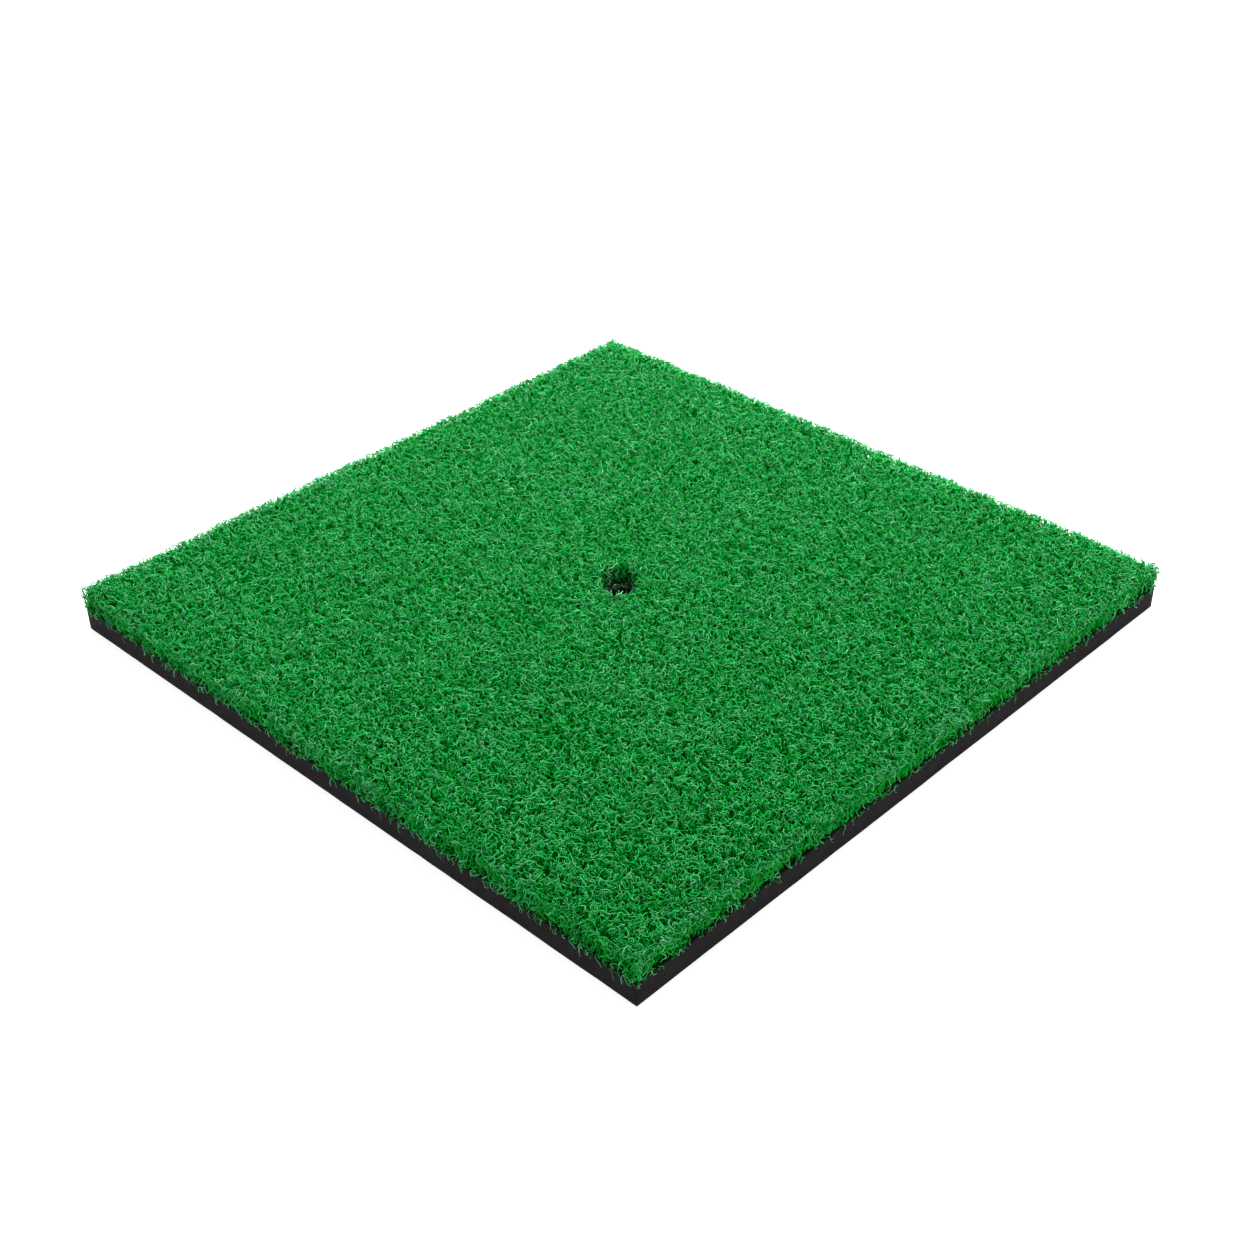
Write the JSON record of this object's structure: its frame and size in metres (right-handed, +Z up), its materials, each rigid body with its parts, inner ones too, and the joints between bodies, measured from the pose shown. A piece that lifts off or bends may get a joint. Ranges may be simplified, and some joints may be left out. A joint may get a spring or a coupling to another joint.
{
  "type": "golf hitting mat",
  "caption": "Square practice mat of curled artificial turf bonded to a black foam base, with a hole for a rubber tee through the middle.",
  "frame": {"origin": "middle of the mat's underside, on the axis of the tee hole", "axes": "+Z up through the pile, +X along the yarn rows, +Y across them"},
  "size_m": [0.3, 0.3, 0.019],
  "materials": {
    "foam": "matte",
    "adhesive": "satin",
    "latex": "matte",
    "backing_cloth": "matte",
    "yarn": "satin"
  },
  "bodies": {
    "root": {"foam_base": "foam", "adhesive_film": "adhesive", "latex_coating": "latex", "primary_backing_cloth": "backing_cloth", "tuft_row_01": "yarn", "tuft_row_02": "yarn", "tuft_row_03": "yarn", "tuft_row_04": "yarn", "tuft_row_05": "yarn", "tuft_row_06": "yarn", "tuft_row_07": "yarn", "tuft_row_08": "yarn", "tuft_row_09": "yarn", "tuft_row_10": "yarn", "tuft_row_11": "yarn", "tuft_row_12": "yarn", "tuft_row_13": "yarn", "tuft_row_14": "yarn", "tuft_row_15": "yarn", "tuft_row_16": "yarn", "tuft_row_17": "yarn", "tuft_row_18": "yarn", "tuft_row_19": "yarn", "tuft_row_20": "yarn", "tuft_row_21": "yarn", "tuft_row_22": "yarn", "tuft_row_23": "yarn", "tuft_row_24": "yarn", "tuft_row_25": "yarn", "tuft_row_26": "yarn", "tuft_row_27": "yarn", "tuft_row_28": "yarn", "tuft_row_29": "yarn", "tuft_row_30": "yarn", "tuft_row_31": "yarn", "tuft_row_32": "yarn", "tuft_row_33": "yarn", "tuft_row_34": "yarn", "tuft_row_35": "yarn", "tuft_row_36": "yarn", "tuft_row_37": "yarn", "tuft_row_38": "yarn", "tuft_row_39": "yarn", "tuft_row_40": "yarn", "tuft_row_41": "yarn", "tuft_row_42": "yarn", "tuft_row_43": "yarn", "tuft_row_44": "yarn", "tuft_row_45": "yarn", "tuft_row_46": "yarn", "tuft_row_47": "yarn"}
  },
  "joints": []
}
